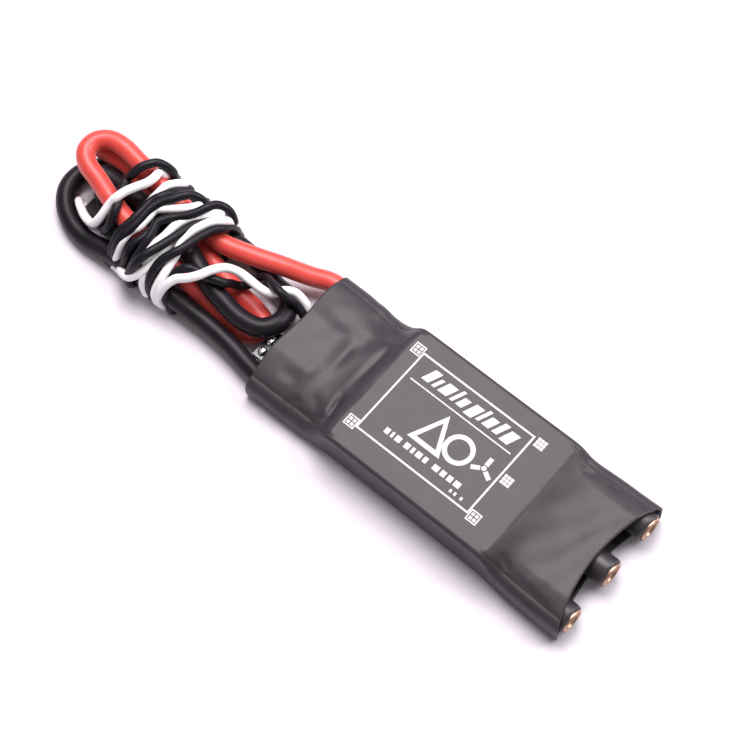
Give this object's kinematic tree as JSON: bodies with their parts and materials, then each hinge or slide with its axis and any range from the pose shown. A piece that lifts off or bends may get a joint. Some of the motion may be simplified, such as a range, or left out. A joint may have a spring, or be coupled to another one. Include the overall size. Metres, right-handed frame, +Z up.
{
  "type": "electronic speed controller",
  "caption": "Flat brushless motor speed controller in black shrink tubing, with gold phase sockets and folded supply and signal leads.",
  "frame": {"origin": "under the middle of the body, from the board's input edge to the phase sockets' fronts, on the surface it lies on", "axes": "+X from the supply leads to the phase sockets, +Y to the left seen from above with +X ahead, +Z up out of the labelled top"},
  "size_m": [0.1205, 0.0278, 0.0122],
  "materials": {
    "sleeve": "satin charcoal heat-shrink tubing with a fine grain",
    "board": "green solder mask over glass-fibre laminate",
    "chip": "matt black moulded package",
    "thermal_pad": "soft grey-blue silicone",
    "heatsink": "plain milled",
    "resonator": "plated can",
    "ceramic": "fired ceramic",
    "tantalum": "moulded package",
    "gold": "gold plated, bright",
    "socket_sleeve": "satin black shrink tubing",
    "solder": "bright tin",
    "tinned_wire": "tinned strands",
    "red_silicone": "semi-gloss silicone",
    "black_silicone": "semi-gloss silicone",
    "white_insulation": "smooth",
    "black_insulation": "smooth",
    "plug_plastic": "moulded nylon"
  },
  "bodies": {
    "root": {"black_lead": "black_silicone", "black_lead_tip": "tinned_wire", "ceramic_capacitor_1": "ceramic", "ceramic_capacitor_2": "ceramic", "ceramic_capacitor_3": "ceramic", "ceramic_capacitor_4": "ceramic", "ceramic_capacitor_5": "ceramic", "ceramic_capacitor_6": "ceramic", "gate_driver_1": "chip", "gate_driver_2": "chip", "gate_driver_3": "chip", "heatsink_plate": "heatsink", "input_capacitor_1": "tantalum", "input_capacitor_2": "tantalum", "input_pad_solder_1": "solder", "input_pad_solder_2": "solder", "input_pad_solder_3": "solder", "microcontroller": "chip", "mosfet_01": "chip", "mosfet_02": "chip", "mosfet_03": "chip", "mosfet_04": "chip", "mosfet_05": "chip", "mosfet_06": "chip", "mosfet_07": "chip", "mosfet_08": "chip", "mosfet_09": "chip", "mosfet_10": "chip", "mosfet_11": "chip", "mosfet_12": "chip", "negative_solder_joint": "solder", "outer_shrink_sleeve": "sleeve", "phase_connector_a": "gold", "phase_connector_b": "gold", "phase_connector_c": "gold", "phase_sleeve_a": "socket_sleeve", "phase_sleeve_b": "socket_sleeve", "phase_sleeve_c": "socket_sleeve", "phase_solder_joint_a": "solder", "phase_solder_joint_b": "solder", "phase_solder_joint_c": "solder", "positive_solder_joint": "solder", "power_board": "board", "red_lead": "red_silicone", "red_lead_tip": "tinned_wire", "resonator": "resonator", "signal_black_strand": "black_insulation", "signal_black_tail": "black_insulation", "signal_contact_1": "gold", "signal_contact_2": "gold", "signal_plug": "plug_plastic", "signal_white_strand": "white_insulation", "signal_white_tail": "white_insulation", "signal_winding": "black_insulation", "thermal_pad": "thermal_pad", "voltage_regulator": "chip"}
  },
  "joints": []
}
